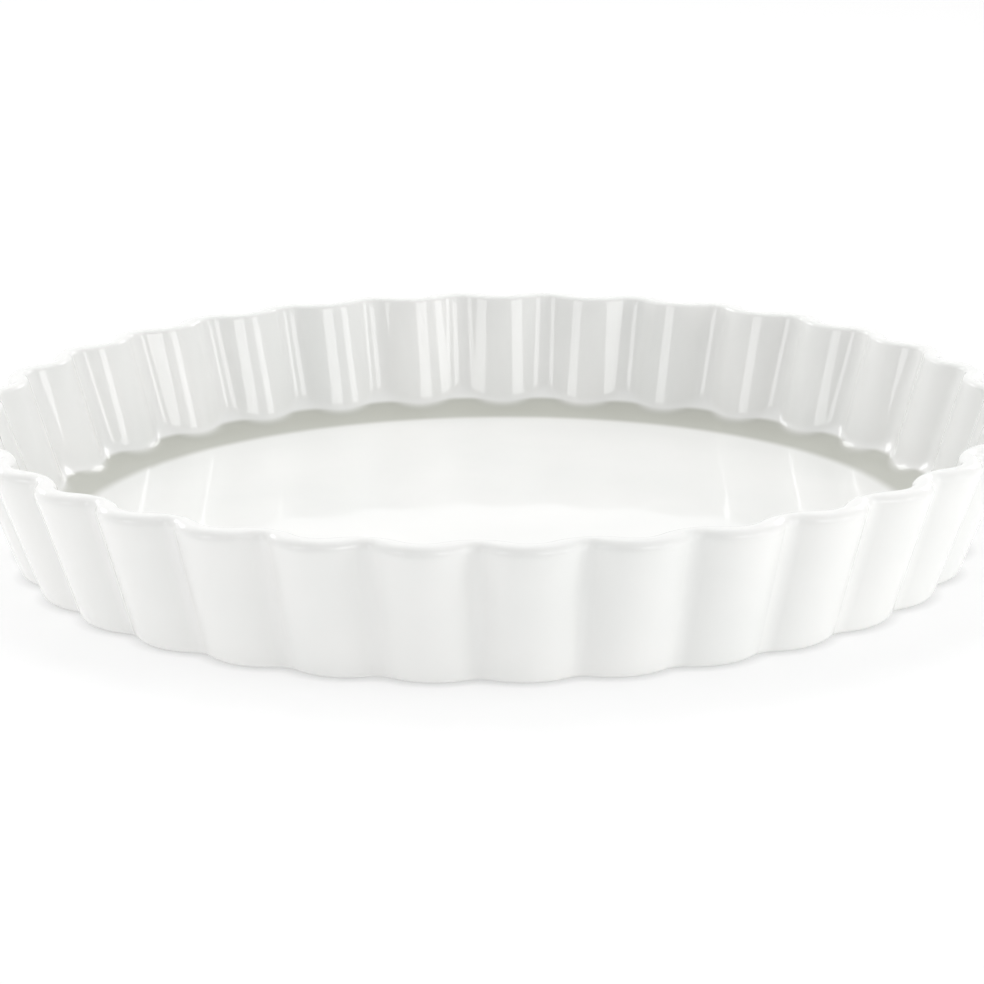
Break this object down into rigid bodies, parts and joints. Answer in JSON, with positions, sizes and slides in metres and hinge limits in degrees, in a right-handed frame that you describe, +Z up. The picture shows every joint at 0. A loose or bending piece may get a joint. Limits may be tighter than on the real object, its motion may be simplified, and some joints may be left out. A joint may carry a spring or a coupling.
{
  "type": "fluted quiche dish",
  "caption": "Round shallow porcelain baking dish with flared fluted sides, rounded lip, coved flat floor and a recessed foot ring.",
  "frame": {"origin": "centre of the foot, on the plane that the dish stands on", "axes": "+Z up along the axis of the dish; a flute crest lies on +X"},
  "size_m": [0.2784, 0.2784, 0.0375],
  "materials": {
    "porcelain": "clear gloss glaze over fired white porcelain, with a bare biscuit foot ring"
  },
  "bodies": {
    "root": {"dish": "porcelain"}
  },
  "joints": []
}
